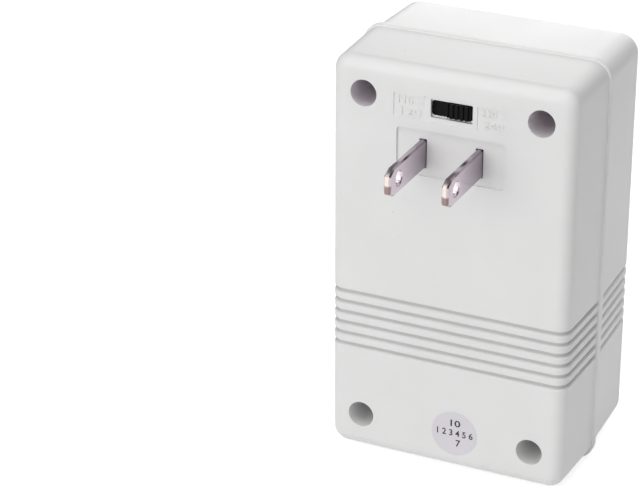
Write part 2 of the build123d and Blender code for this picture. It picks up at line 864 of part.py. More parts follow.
with BuildPart() as switch_frame:
    with BuildSketch(from_rear(base_face)):
        with Locations((0, window_z)):
            RectangleRounded(switch_width, switch_height, switch_sheet)
    extrude(amount=switch_can_depth)
    with BuildSketch(from_rear(switch_face - switch_sheet)):
        with Locations((0, window_z)):
            RectangleRounded(switch_width + 2 * switch_ear, switch_height, switch_sheet)
    extrude(amount=switch_sheet)
    with BuildSketch(from_rear(base_face)):
        with Locations((0, window_z)):
            Rectangle(switch_width - 2 * switch_sheet, switch_height - 2 * switch_sheet)
    extrude(amount=switch_can_depth - switch_sheet, mode=Mode.SUBTRACT)
    with BuildSketch(from_rear(switch_face - switch_sheet - overrun)):
        with Locations((0, window_z)):
            RectangleRounded(window_width, frame_window_height, switch_window_corner)
    extrude(amount=switch_sheet + 2 * overrun, mode=Mode.SUBTRACT)
save(switch_frame.part, "switch_frame")

terminal_places = [
    (column * knob_travel, window_z + row * terminal_row / 2)
    for column in (-1, 0, 1)
    for row in (-1, 1)
]

with BuildPart() as switch_base:
    with BuildSketch(from_rear(clamp_face)):
        with Locations((0, window_z)):
            RectangleRounded(switch_width, switch_height, switch_sheet)
        with Locations(terminal_places):
            Rectangle(
                terminal_width + 2 * fit_gap, terminal_sheet + 2 * fit_gap, mode=Mode.SUBTRACT
            )
    extrude(amount=switch_base_depth)
save(switch_base.part, "switch_base")

with BuildPart() as terminal:
    with BuildSketch(Plane.XY):
        Rectangle(pad_width, pad_height)
    extrude(amount=pad_depth)
    with BuildSketch(Plane.XY):
        Rectangle(terminal_width, terminal_sheet)
    extrude(amount=-(switch_base_depth + clamp_depth + terminal_length))
save(spread(terminal.part, terminal_places, from_rear(base_face)), "switch_terminals")

# Knob with ridges, its wide flange and the carriage below it
with BuildPart() as switch_knob:
    with BuildSketch(from_rear(flange_front)):
        with Locations((-knob_rest_x, window_z)):
            Rectangle(flange_width, switch_height - 2 * switch_sheet - 2 * slide_gap)
    extrude(amount=flange_depth)
    with BuildSketch(from_rear(carriage_front)):
        with Locations((-knob_rest_x, window_z)):
            Rectangle(carriage_width, switch_height - 4 * switch_sheet)
    extrude(amount=carriage_depth)
    with BuildSketch(from_rear(flange_back)):
        with Locations((-knob_rest_x, window_z)):
            RectangleRounded(knob_width, knob_height, knob_corner)
    extrude(amount=switch_face + knob_proud - flange_back)
    with BuildSketch(from_rear(switch_face + knob_proud - knob_ridge_depth)):
        with Locations((-knob_rest_x, window_z)):
            with GridLocations(knob_width / knob_ridges, 0, knob_ridges, 1):
                Rectangle(knob_width / knob_ridges * ridge_share, window_height)
    extrude(amount=knob_ridge_depth + overrun, mode=Mode.SUBTRACT)
save(switch_knob.part, "switch_knob")

# Two sprung bridges under the carriage, each over one row of terminals
contact_point = knob_travel / 2
wiper_points = [
    (-wiper_width / 2, pad_face + slide_gap + 2 * wiper_sheet),
    (-contact_point, pad_face + slide_gap),
    (-contact_point / 2, carriage_front - wiper_sheet),
    (contact_point / 2, carriage_front - wiper_sheet),
    (contact_point, pad_face + slide_gap),
    (wiper_width / 2, pad_face + slide_gap + 2 * wiper_sheet),
]
wiper = bent_strip(
    Plane.XY,
    [(knob_rest_x + x, y) for x, y in wiper_points],
    wiper_sheet,
    wiper_sheet,
    Side.LEFT,
    wiper_height,
)
wiper_low_z = [window_z + row * terminal_row / 2 - wiper_height / 2 for row in (-1, 1)]
save(Compound([wiper.moved(Location((0, 0, z))).solid() for z in wiper_low_z]), "switch_wipers")

# Transformer core: an E stack below and an I stack across its top
yoke = core_width * window_share
window_span = core_width / 2
slot_x = yoke * 3 / 2
core_split_z = core_low_z + yoke + window_span

with BuildPart() as core_e:
    with BuildSketch(from_front(-core_stack / 2)):
        with Locations((0, core_low_z)):
            Rectangle(core_width, yoke + window_span, align=(Align.CENTER, Align.MIN))
        with Locations((-slot_x, core_low_z + yoke), (slot_x, core_low_z + yoke)):
            Rectangle(yoke, window_span, align=(Align.CENTER, Align.MIN), mode=Mode.SUBTRACT)
        with Locations(core_places):
            Circle(core_hole_diameter / 2, mode=Mode.SUBTRACT)
    extrude(amount=-core_stack)
save(core_e.part, "core_e_laminations")

with BuildPart() as core_i:
    with BuildSketch(from_front(-core_stack / 2)):
        with Locations((0, core_split_z)):
            Rectangle(core_width, yoke, align=(Align.CENTER, Align.MIN))
        with Locations(core_places):
            Circle(core_hole_diameter / 2, mode=Mode.SUBTRACT)
    extrude(amount=-core_stack)
save(core_i.part, "core_i_laminations")

core_screw = cross_screw(core_screw_diameter, core_screw_length, core_head_diameter, core_head_height)
save(spread(core_screw, core_places, from_rear(core_stack / 2)), "core_screws")

# Bobbin round the middle leg, with three flanges and a block of solder lugs
leg_half_width = yoke + bobbin_gap
leg_half_depth = core_stack / 2 + bobbin_gap
flange_half_width = 2 * yoke - flange_margin
winding_build = flange_half_width - leg_half_width - bobbin_wall
flange_half_depth = leg_half_depth + bobbin_wall + winding_build
bobbin_low_z = core_low_z + yoke + bobbin_gap
bobbin_high_z = core_split_z - bobbin_gap
chamber_height = (bobbin_high_z - bobbin_low_z - 3 * flange_wall) / 2
flange_levels = [bobbin_low_z + i * (flange_wall + chamber_height) for i in range(3)]
lug_y = flange_half_depth - lug_block_depth / 2
lug_places = [(i * lug_pitch, lug_y) for i in range(-(lug_count // 2), lug_count // 2 + 1)]

with BuildPart() as bobbin:
    with BuildSketch(Plane.XY.offset(bobbin_low_z)):
        RectangleRounded(
            2 * (leg_half_width + bobbin_wall), 2 * (leg_half_depth + bobbin_wall), bobbin_wall
        )
    extrude(amount=bobbin_high_z - bobbin_low_z)
    for level in flange_levels:
        with BuildSketch(Plane.XY.offset(level)):
            RectangleRounded(2 * flange_half_width, 2 * flange_half_depth, flange_wall)
        extrude(amount=flange_wall)
    with BuildSketch(Plane.XY.offset(bobbin_high_z)):
        with Locations((0, lug_y)):
            Rectangle(lug_count * lug_pitch, lug_block_depth)
    extrude(amount=lug_block_height)
    with BuildSketch(Plane.XY.offset(bobbin_high_z)):
        with Locations(lug_places):
            Circle(lug_diameter / 2 + fit_gap)
    extrude(amount=lug_block_height, mode=Mode.SUBTRACT)
    with BuildSketch(Plane.XY.offset(bobbin_low_z)):
        Rectangle(2 * leg_half_width, 2 * leg_half_depth)
    extrude(amount=bobbin_high_z - bobbin_low_z, mode=Mode.SUBTRACT)
save(bobbin.part, "bobbin")

with BuildPart() as lug:
    Cylinder(
        lug_diameter / 2,
        lug_block_height + lug_length,
        align=(Align.CENTER, Align.CENTER, Align.MIN),
    )
save(spread(lug.part, lug_places, Plane.XY.offset(bobbin_high_z)), "bobbin_lugs")


def sleeve(level, height, inner_margin, outer_margin):
    """Rounded sleeve round the bobbin tube between two distances from it."""
    with BuildPart() as ring:
        with BuildSketch(Plane.XY.offset(level)):
            RectangleRounded(
                2 * (leg_half_width + bobbin_wall + outer_margin),
                2 * (leg_half_depth + bobbin_wall + outer_margin),
                winding_corner,
            )
            RectangleRounded(
                2 * (leg_half_width + bobbin_wall + inner_margin),
                2 * (leg_half_depth + bobbin_wall + inner_margin),
                bobbin_wall + inner_margin / 2,
                mode=Mode.SUBTRACT,
            )
        extrude(amount=height)
    return ring.part


winding_height = chamber_height - 2 * fit_gap
winding_reach = winding_build - winding_margin
winding_levels = [level + flange_wall + fit_gap for level in flange_levels[:2]]
save(sleeve(winding_levels[0], winding_height, fit_gap, winding_reach), "primary_winding")
save(sleeve(winding_levels[1], winding_height, fit_gap, winding_reach), "secondary_winding")


def tape(level):
    """Insulating tape that follows the outside of one winding."""
    with BuildPart() as wrap:
        with BuildSketch(Plane.XY.offset(level)):
            RectangleRounded(
                2 * (leg_half_width + bobbin_wall + winding_reach + tape_thickness + fit_gap),
                2 * (leg_half_depth + bobbin_wall + winding_reach + tape_thickness + fit_gap),
                winding_corner + tape_thickness,
            )
            RectangleRounded(
                2 * (leg_half_width + bobbin_wall + winding_reach + fit_gap),
                2 * (leg_half_depth + bobbin_wall + winding_reach + fit_gap),
                winding_corner,
                mode=Mode.SUBTRACT,
            )
        extrude(amount=winding_height)
    return wrap.part


save(Compound([tape(level).solid() for level in winding_levels]), "winding_tape")


def wire(points):
    """Round insulated wire: straight runs joined by arcs as wide as the runs allow."""
    corners = [Vector(*point) for point in points]
    runs = [after - before for before, after in zip(corners, corners[1:])]
    bends = [
        wire_bend_share * min(first.length, second.length)
        / tan(radians(first.get_angle(second)) / 2)
        for first, second in zip(runs, runs[1:])
    ]
    with BuildPart() as strand:
        with BuildLine() as route:
            FilletPolyline(*points, radius=bends)
        with BuildSketch(Plane(origin=corners[0], z_dir=runs[0])):
            Circle(wire_diameter / 2)
        sweep(path=route.wire())
    return strand.part


# Wires from both blades and both contacts to the lugs, and one from the switch
lug_top_z = bobbin_high_z + lug_block_height + lug_length
lug_turn_z = lug_top_z + wire_drop
blade_tail_y = clamp_face - clamp_depth - blade_tail_length / 2
blade_tail_z = blade_z - blade_tail_width / 2
contact_tail_y = retainer_back + tail_length
outer_lug_x = lug_places[-1][0]
inner_lug_x = lug_places[-2][0]

input_route = [
    (blade_places[-1], blade_tail_y, blade_tail_z),
    (blade_places[-1], blade_tail_y, blade_tail_z - wire_drop),
    (outer_lug_x, lug_y, lug_turn_z),
    (outer_lug_x, lug_y, lug_top_z),
]
input_wire = wire(input_route)
save(Compound([input_wire.solid(), input_wire.mirror(Plane.YZ).solid()]), "input_wires")

output_route = [
    (pin_tail_x, contact_tail_y, pin_centre_z),
    (pin_tail_x, contact_tail_y + wire_reach, pin_centre_z + wire_lift),
    (inner_lug_x, lug_y, lug_turn_z),
    (inner_lug_x, lug_y, lug_top_z),
]
output_wire = wire(output_route)
save(Compound([output_wire.solid(), output_wire.mirror(Plane.YZ).solid()]), "output_wires")

terminal_tip_y = clamp_face - clamp_depth - terminal_length
switch_wire_y = terminal_tip_y - switch_wire_reach
switch_wire_z = window_z - terminal_row / 2
switch_route = [
    (knob_travel, terminal_tip_y, switch_wire_z),
    (knob_travel, switch_wire_y, switch_wire_z),
    (knob_travel, switch_wire_y, switch_wire_z - switch_wire_drop),
    (knob_travel / 2, contact_tail_y + switch_wire_knee, switch_wire_z - 2 * switch_wire_drop),
    (0, lug_y, lug_turn_z),
    (0, lug_y, lug_top_z),
]
save(wire(switch_route), "switch_wire")

# Thermal fuse lying along the top of the core
with BuildPart() as thermal_fuse:
    with Locations(Location((0, fuse_y, core_high_z + fuse_diameter / 2 + fit_gap), (0, 90, 0))):
        Cylinder(fuse_diameter / 2, fuse_length)
        Cylinder(lead_diameter / 2, fuse_length + 4 * lead_reach)
    fillet(
        thermal_fuse.edges().filter_by(GeomType.CIRCLE).group_by(SortBy.RADIUS)[-1],
        lead_diameter,
    )
save(thermal_fuse.part, "thermal_fuse")

# Indicator light behind its hole, and the board that holds it in the rails
with BuildPart() as indicator_light:
    with BuildSketch(from_front(board_y)):
        with Locations((0, light_z)):
            Circle(light_diameter / 2)
    extrude(amount=light_body_depth)
    fillet(indicator_light.edges().sort_by(Axis.Y)[0], light_diameter / 2 - fit_gap)
    with BuildSketch(from_front(board_y)):
        with Locations((0, light_z)):
            Circle(light_flange_diameter / 2)
    extrude(amount=light_flange_depth)
save(indicator_light.part, "indicator_light")

with BuildPart() as light_board:
    with BuildSketch(from_rear(board_y)):
        with Locations((0, board_low_z)):
            Rectangle(board_width, board_height, align=(Align.CENTER, Align.MIN))
    extrude(amount=board_depth)
save(light_board.part, "light_board")


def axial_part(diameter, length, z):
    """Small body with two bent leads, standing on the rear side of the board."""
    board_back = board_y + board_depth
    axis_y = board_back + part_lift + diameter / 2
    foot_x = length / 2 + lead_reach
    with BuildPart() as body:
        with Locations(Location((0, axis_y, z), (0, 90, 0))):
            Cylinder(diameter / 2, length)
        with BuildLine():
            FilletPolyline(
                (-foot_x, board_back, z),
                (-foot_x, axis_y, z),
                (foot_x, axis_y, z),
                (foot_x, board_back, z),
                radius=lead_diameter,
            )
        with BuildSketch(Plane(origin=(-foot_x, board_back, z), z_dir=(0, 1, 0))):
            Circle(lead_diameter / 2)
        sweep()
    return body.part


save(axial_part(resistor_diameter, resistor_length, resistor_z), "resistor")
save(axial_part(diode_diameter, diode_length, diode_z), "diode")

# Round sticker on the rear face
with BuildPart() as round_sticker:
    with BuildSketch(from_rear(rear_face)):
        with Locations((-sticker_x, sticker_z)):
            Circle(sticker_diameter / 2)
    extrude(amount=sticker_thickness)
save(round_sticker.part, "round_sticker")
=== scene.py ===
# %% [markdown]
# # A travel voltage converter
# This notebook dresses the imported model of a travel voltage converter: a white
# two-shell housing with a universal socket on its front, and two flat blades
# and a slide selector on its back. The frame holds every solid piece already,
# in metres, so the lesson is about surfaces, small moulded signs and light.

# %% Load the frame
import bpy
import json
from math import cos, radians, sin
from mathutils import Matrix, Vector


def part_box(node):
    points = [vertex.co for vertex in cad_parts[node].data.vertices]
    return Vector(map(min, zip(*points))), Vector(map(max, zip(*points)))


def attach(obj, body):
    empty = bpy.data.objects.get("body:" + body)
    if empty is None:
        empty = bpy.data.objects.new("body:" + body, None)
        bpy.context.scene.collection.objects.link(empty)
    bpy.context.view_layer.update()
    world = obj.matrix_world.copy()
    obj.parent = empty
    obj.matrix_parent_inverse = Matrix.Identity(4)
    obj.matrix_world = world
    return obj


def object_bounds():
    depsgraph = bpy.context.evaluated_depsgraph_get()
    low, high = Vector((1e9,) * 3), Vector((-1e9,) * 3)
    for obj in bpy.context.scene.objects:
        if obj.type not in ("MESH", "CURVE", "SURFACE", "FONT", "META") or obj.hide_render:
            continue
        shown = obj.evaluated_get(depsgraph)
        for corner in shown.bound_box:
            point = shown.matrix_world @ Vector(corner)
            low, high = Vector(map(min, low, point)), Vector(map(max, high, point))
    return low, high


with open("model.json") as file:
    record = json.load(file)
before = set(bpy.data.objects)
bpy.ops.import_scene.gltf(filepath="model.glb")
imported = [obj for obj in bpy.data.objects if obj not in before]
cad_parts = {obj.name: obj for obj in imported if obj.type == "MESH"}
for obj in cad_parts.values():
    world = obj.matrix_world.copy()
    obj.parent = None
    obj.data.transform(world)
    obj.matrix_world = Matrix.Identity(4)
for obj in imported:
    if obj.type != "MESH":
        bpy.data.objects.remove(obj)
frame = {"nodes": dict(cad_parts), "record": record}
nodes = frame["nodes"]
cad_box = [list(corner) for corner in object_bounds()]
mm = 0.001
bpy.ops.object.select_all(action="DESELECT")
print("nodes:", len(nodes), "box in mm:", [[round(v / mm, 1) for v in c] for c in cad_box])

# %% [markdown]
# The origin lies on the rear face, midway between the blades. The places that
# the new pieces need are read from the nodes, so that they follow the model:
# the two outer faces, and the foot of the rim band that the camera is aimed by.

# %% Measure the nodes that carry something
front_low, front_high = [Vector(corner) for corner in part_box("front_cover")]
rear_low, rear_high = [Vector(corner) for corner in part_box("rear_cover")]
sticker_low, sticker_high = [Vector(corner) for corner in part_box("round_sticker")]
front_y = front_low.y
rear_y = rear_high.y
sticker_y = sticker_high.y
sticker_centre = (sticker_low + sticker_high) / 2
band_half_depth = 1.0 * mm
foot = Vector((0, front_high.y - band_half_depth, front_low.z))
print("front face y:", round(front_y / mm, 2), "rear face y:", round(rear_y / mm, 2))

# %% [markdown]
# The solids come as loose triangles. A curved surface made of triangles looks
# faceted until they share their corners and their shading is smooth. A Weld
# modifier joins the corners, and Edge Split keeps every edge sharper than a
# given angle crisp, so flats stay flat and fillets turn round.

# %% Smooth shading on the solids
weld_distance = 0.001 * mm
sharp_angle = 32


def soften(name, angle):
    """Weld a node's triangles and shade it smooth, except over sharp edges."""
    piece = nodes[name]
    for face in piece.data.polygons:
        face.use_smooth = True
    weld = piece.modifiers.new("weld", "WELD")
    weld.merge_threshold = weld_distance
    split = piece.modifiers.new("split", "EDGE_SPLIT")
    split.use_edge_angle = True
    split.split_angle = radians(angle)


for name in nodes:
    soften(name, sharp_angle)
print("softened", len(nodes), "nodes")

# %% [markdown]
# The camera stands behind the converter, a little above it and to its left,
# with a long lens, and looks past it, so that the converter fills the right
# half of the picture. Right, up and back are the camera's own axes.

# %% Camera at the photograph's viewing angle
azimuth = radians(205.32)
elevation = radians(25.14)
look_height = 50.0
look_centre = foot + Vector((0, 0, look_height)) * mm
distance = 561.4 * mm
aside = 35.24 * mm
above = 2.23 * mm
focal_pixels = 2571
picture_width = 640
sensor_width = 36
level_part = cos(elevation)
back = Vector((sin(azimuth) * level_part, -cos(azimuth) * level_part, sin(elevation)))
right = Vector((cos(azimuth), sin(azimuth), 0))
up = back.cross(right)
camera_data = bpy.data.cameras.new("camera")
camera_data.sensor_width = sensor_width
camera_data.lens = focal_pixels / picture_width * sensor_width
camera = bpy.data.objects.new("camera", camera_data)
bpy.context.scene.collection.objects.link(camera)
turn = Matrix((right, up, back)).transposed().to_4x4()
place = look_centre + back * distance - right * aside - up * above
camera.matrix_world = Matrix.Translation(place) @ turn
bpy.context.scene.camera = camera
print("camera at", [round(v, 3) for v in place], "lens", round(camera_data.lens, 1))

# %% [markdown]
# A product picture on white has a pale floor and large soft lights: one above
# the camera's left shoulder, one overhead, a weak one at the side and one on
# the socket side, which this camera doesn't see. Together they keep a colour
# close to the value that is written. The floor glows for camera and glossy rays
# alone, and the world is bright for camera rays alone, so the ground behind the
# object is white and still lights it little.

# %% Floor, world and lights
floor_size = 1.2
floor_tone = (0.80, 0.80, 0.80, 1)
floor_glow = 0.70
world_light = 0.12
world_seen = 1.0
white_light = (1, 1, 1, 1)
scene = bpy.context.scene
scene.view_settings.view_transform = "Standard"


def new_material(name):
    """Empty material with its node tree and a Principled shader."""
    material = bpy.data.materials.new(name)
    material.use_nodes = True
    tree = material.node_tree
    return material, tree, tree.nodes["Principled BSDF"]


bpy.ops.mesh.primitive_plane_add(size=floor_size, location=(0, 0, cad_box[0][2]))
floor = bpy.context.object
floor.name = "floor"
floor_material, tree, shader = new_material("pale floor")
shader.inputs["Base Color"].default_value = floor_tone
shader.inputs["Roughness"].default_value = 0.9
shader.inputs["Specular IOR Level"].default_value = 0.0
ray = tree.nodes.new("ShaderNodeLightPath")
seen = tree.nodes.new("ShaderNodeMath")
seen.operation = "MAXIMUM"
tree.links.new(ray.outputs["Is Camera Ray"], seen.inputs[0])
tree.links.new(ray.outputs["Is Glossy Ray"], seen.inputs[1])
glow = tree.nodes.new("ShaderNodeMath")
glow.operation = "MULTIPLY"
glow.inputs[1].default_value = floor_glow
tree.links.new(seen.outputs[0], glow.inputs[0])
shader.inputs["Emission Color"].default_value = white_light
tree.links.new(glow.outputs[0], shader.inputs["Emission Strength"])
floor.data.materials.append(floor_material)

world = bpy.data.worlds.new("studio")
scene.world = world
world.use_nodes = True
tree = world.node_tree
surface = tree.nodes["Background"]
surface.inputs["Color"].default_value = white_light
ray = tree.nodes.new("ShaderNodeLightPath")
level = tree.nodes.new("ShaderNodeMapRange")
level.inputs["To Min"].default_value = world_light
level.inputs["To Max"].default_value = world_seen
tree.links.new(ray.outputs["Is Camera Ray"], level.inputs["Value"])
tree.links.new(level.outputs["Result"], surface.inputs["Strength"])


def soft_light(name, offset, size, power):
    """Square area light, placed from the middle of the object and turned to it."""
    data = bpy.data.lights.new(name, "AREA")
    data.size = size
    data.energy = power
    light = bpy.data.objects.new(name, data)
    light.location = look_centre + Vector(offset)
    light.rotation_euler = (-Vector(offset)).to_track_quat("-Z", "Y").to_euler()
    scene.collection.objects.link(light)


soft_light("rear key", (0.40, 0.95, 0.40), 1.1, 6.8)
soft_light("top", (0.0, 0.2, 1.1), 0.9, 5.8)
soft_light("side fill", (-0.9, 0.6, 0.45), 0.9, 2.0)
soft_light("front fill", (0.15, -1.15, 0.22), 0.9, 8.0)

# %% [markdown]
# Moulded plastic is never one flat colour: the tool leaves a fine grain, and
# tiny specks and soft clouds change the tone by a percent or two. Several
# finishes need this, so it is a node group with its own sliders. It reads
# Object coordinates, which stay with the piece from every side.

# %% Node group for moulded grain
def new_group(name, numbers, outputs):
    """Shader node group with number inputs and the outputs that are asked for."""
    group = bpy.data.node_groups.new(name, "ShaderNodeTree")
    for label, value in numbers.items():
        socket = group.interface.new_socket(label, in_out="INPUT", socket_type="NodeSocketFloat")
        socket.default_value = value
    for label, kind in outputs.items():
        group.interface.new_socket(label, in_out="OUTPUT", socket_type=kind)
    start = group.nodes.new("NodeGroupInput")
    end = group.nodes.new("NodeGroupOutput")
    return group, start, end


def noise(tree, scale, detail=2.0, source=None):
    """Noise on the given vector, in turns per metre."""
    texture = tree.nodes.new("ShaderNodeTexNoise")
    texture.inputs["Scale"].default_value = scale
    texture.inputs["Detail"].default_value = detail
    if source is not None:
        tree.links.new(source, texture.inputs["Vector"])
    return texture


def remap(tree, value, low, high, to_low, to_high):
    """Map Range node on a value, clamped at both ends."""
    node = tree.nodes.new("ShaderNodeMapRange")
    labels = ("From Min", "From Max", "To Min", "To Max")
    for label, number in zip(labels, (low, high, to_low, to_high)):
        node.inputs[label].default_value = number
    tree.links.new(value, node.inputs["Value"])
    return node.outputs["Result"]


def math_node(tree, operation, a, b):
    """Math node on two sockets or numbers."""
    node = tree.nodes.new("ShaderNodeMath")
    node.operation = operation
    for socket, value in zip(node.inputs, (a, b)):
        if isinstance(value, (int, float)):
            socket.default_value = value
        else:
            tree.links.new(value, socket)
    return node.outputs[0]


cloud_scale = 60
fine_scale = 2600
dot_scale = 520
rare_scale = 300
grain_group, start, end = new_group(
    "moulded grain",
    {"Cloud": 0.03, "Speck": 0.05},
    {"Tone": "NodeSocketFloat", "Height": "NodeSocketFloat", "Sheen": "NodeSocketFloat"},
)
tree = grain_group
coords = tree.nodes.new("ShaderNodeTexCoord").outputs["Object"]
clouds = noise(tree, cloud_scale, 3, coords)
fine = noise(tree, fine_scale, 2, coords)
dots = tree.nodes.new("ShaderNodeTexVoronoi")
dots.inputs["Scale"].default_value = dot_scale
tree.links.new(coords, dots.inputs["Vector"])
speck = remap(tree, dots.outputs["Distance"], 0.05, 0.12, 1.0, 0.0)
rare = remap(tree, noise(tree, rare_scale, 1, coords).outputs["Fac"], 0.66, 0.7, 0.0, 1.0)
drift = remap(tree, clouds.outputs["Fac"], 0.3, 0.7, -1, 1)
cloud_tone = math_node(tree, "MULTIPLY", drift, start.outputs["Cloud"])
rare_speck = math_node(tree, "MULTIPLY", speck, rare)
speck_tone = math_node(tree, "MULTIPLY", rare_speck, start.outputs["Speck"])
tone = math_node(tree, "SUBTRACT", math_node(tree, "ADD", cloud_tone, 1.0), speck_tone)
tree.links.new(tone, end.inputs["Tone"])
tree.links.new(fine.outputs["Fac"], end.inputs["Height"])
tree.links.new(drift, end.inputs["Sheen"])
print("group:", grain_group.name, len(grain_group.nodes), "nodes")

# %% [markdown]
# Each plastic is then one short call: the group tints a colour, lifts a little
# bump, and lets the gloss wander. The shader itself stays in the material, and
# whatever is the same all over the piece is set on its own sockets.

# %% Plastics
gloss_drift = 0.04
grain_depth = 0.05 * mm


def plastic(name, colour, roughness, cloud=0.02, speck=0.06, bump=0.06, specular=0.5, coat=0.0):
    """Moulded plastic with grain, clouds of tone and wandering gloss."""
    material, tree, shader = new_material(name)
    group = tree.nodes.new("ShaderNodeGroup")
    group.node_tree = grain_group
    group.inputs["Cloud"].default_value = cloud
    group.inputs["Speck"].default_value = speck
    tint = tree.nodes.new("ShaderNodeMix")
    tint.data_type = "RGBA"
    tint.blend_type = "MULTIPLY"
    tint.inputs["Factor"].default_value = 1.0
    tint.inputs["A"].default_value = (*colour, 1)
    tree.links.new(group.outputs["Tone"], tint.inputs["B"])
    tree.links.new(tint.outputs["Result"], shader.inputs["Base Color"])
    low, high = roughness - gloss_drift, roughness + gloss_drift
    rough = remap(tree, group.outputs["Sheen"], -1, 1, low, high)
    tree.links.new(rough, shader.inputs["Roughness"])
    dent = tree.nodes.new("ShaderNodeBump")
    dent.inputs["Strength"].default_value = bump
    dent.inputs["Distance"].default_value = grain_depth
    tree.links.new(group.outputs["Height"], dent.inputs["Height"])
    tree.links.new(dent.outputs["Normal"], shader.inputs["Normal"])
    shader.inputs["Specular IOR Level"].default_value = specular
    shader.inputs["Coat Weight"].default_value = coat
    return material


finishes = {
    "shell_plastic": plastic("white shell", (0.83, 0.83, 0.825), 0.42, speck=0.35),
    # painted shade: the white carrier gets a darker mauve colour, as white plastic looks in the
    # socket's shade
    "carrier_plastic": plastic("white carrier in painted shade", (0.66, 0.60, 0.64), 0.5),
    "black_plastic": plastic("black knob", (0.003, 0.003, 0.003), 0.45, bump=0.1, specular=0.12),
    "phenolic": plastic("brown board", (0.30, 0.13, 0.04), 0.5, cloud=0.15),
    "bobbin_nylon": plastic("natural nylon", (0.72, 0.70, 0.62), 0.5),
    "polyester_tape": plastic("yellow tape", (0.78, 0.55, 0.05), 0.25, cloud=0.05, coat=0.3),
    "fuse_case": plastic("fuse case", (0.72, 0.70, 0.60), 0.3),
    "board_green": plastic("green board", (0.03, 0.16, 0.06), 0.35, coat=0.4),
    "resistor_blue": plastic("blue lacquer", (0.16, 0.28, 0.50), 0.3),
    "diode_glass": plastic("glass diode", (0.35, 0.06, 0.03), 0.15),
    "sticker_paper": plastic("sticker paper", (0.74, 0.71, 0.76), 0.55, cloud=0.03),
    "wire_red": plastic("red wire", (0.52, 0.02, 0.02), 0.35, cloud=0.04),
    "wire_black": plastic("black wire", (0.015, 0.015, 0.016), 0.35, cloud=0.04),
}
ink = plastic("black print", (0.012, 0.012, 0.013), 0.45, cloud=0.12, bump=0.02)
bold_ink = plastic("grey print", (0.035, 0.035, 0.038), 0.45, cloud=0.25, bump=0.02)
stamp_ink = plastic("stamp ink", (0.02, 0.02, 0.022), 0.5, cloud=0.2, bump=0.02)
print("plastics:", len(finishes))

# %% [markdown]
# Deep in the selector's window and in the two upper wells the white moulding
# is painted mauve: painted shade in the recesses. A mask shaped as a box in
# Object coordinates takes in all three: how deep, how high and how far from the
# middle. A second, narrower mask paints deeper shade on the window's walls.

# %% Painted shade inside the recesses
shell_tree = finishes["shell_plastic"].node_tree
shell_shader = shell_tree.nodes["Principled BSDF"]
shell_tone = shell_shader.inputs["Base Color"].links[0].from_socket
place = shell_tree.nodes.new("ShaderNodeSeparateXYZ")
shell_place = shell_tree.nodes.new("ShaderNodeTexCoord").outputs["Object"]
shell_tree.links.new(shell_place, place.inputs[0])
window_x = 5.2 * mm
window_fade = 0.3 * mm
off_middle = math_node(shell_tree, "ABSOLUTE", place.outputs["X"], 0.0)
recess_shade_limits = (
    (place.outputs["Y"], rear_y - 0.9 * mm, rear_y - 0.3 * mm, 1.0, 0.0),
    (place.outputs["Y"], rear_y - 15 * mm, rear_y - 14 * mm, 0.0, 1.0),
    (place.outputs["Z"], 5 * mm, 7 * mm, 0.0, 1.0),
    (place.outputs["Z"], 15 * mm, 16 * mm, 1.0, 0.0),
    (off_middle, 23.2 * mm, 24.2 * mm, 1.0, 0.0),
)
recess_shade = 1.0
for limit in recess_shade_limits:
    recess_shade = math_node(shell_tree, "MULTIPLY", remap(shell_tree, *limit), recess_shade)
near_window = remap(shell_tree, off_middle, window_x, window_x + window_fade, 1.0, 0.0)
window_shade_mask = math_node(shell_tree, "MULTIPLY", recess_shade, near_window)


def tinted(tree, colour, mask, tint):
    """A colour multiplied by a tint where the mask is white."""
    node = tree.nodes.new("ShaderNodeMix")
    node.data_type = "RGBA"
    node.blend_type = "MULTIPLY"
    tree.links.new(mask, node.inputs["Factor"])
    tree.links.new(colour, node.inputs["A"])
    node.inputs["B"].default_value = (*tint, 1)
    return node.outputs["Result"]


# painted shade: the plastic in the upper wells and the window turns mauve and darker
well_painted_shade = tinted(shell_tree, shell_tone, recess_shade, (0.92, 0.86, 0.91))
# painted shade: the window's walls are darkened further
window_painted_shade = tinted(shell_tree, well_painted_shade, window_shade_mask, (0.55, 0.52, 0.54))
shell_tree.links.new(window_painted_shade, shell_shader.inputs["Base Color"])
print("shell nodes:", len(shell_tree.nodes))

# %% [markdown]
# The grooves between the grip ribs get painted shade, a grey tone that draws
# them as clear lines. They repeat at an even pitch, so one mask folds the height into
# steps of that pitch and darkens the middle of each step. It leaves out the rim
# band, where the ribs stop. The highest groove is measured from the foot.

# %% Painted shade in the grip grooves
groove_height = 39.3 * mm
groove_top = foot.z + groove_height
groove_pitch = 2.55 * mm
groove_count = 6
half_floor = 0.22 * mm
half_mouth = 0.52 * mm
band_fade = 0.2 * mm
groove_shade_tone = (0.73, 0.73, 0.73)
steps = math_node(shell_tree, "SUBTRACT", groove_top, place.outputs["Z"])
steps = math_node(shell_tree, "DIVIDE", steps, groove_pitch)
nearest = math_node(shell_tree, "ROUND", steps, 0.0)
offset = math_node(shell_tree, "SUBTRACT", steps, nearest)
offset = math_node(shell_tree, "ABSOLUTE", offset, 0.0)
offset = math_node(shell_tree, "MULTIPLY", offset, groove_pitch)
from_band = math_node(shell_tree, "SUBTRACT", place.outputs["Y"], foot.y)
from_band = math_node(shell_tree, "ABSOLUTE", from_band, 0.0)
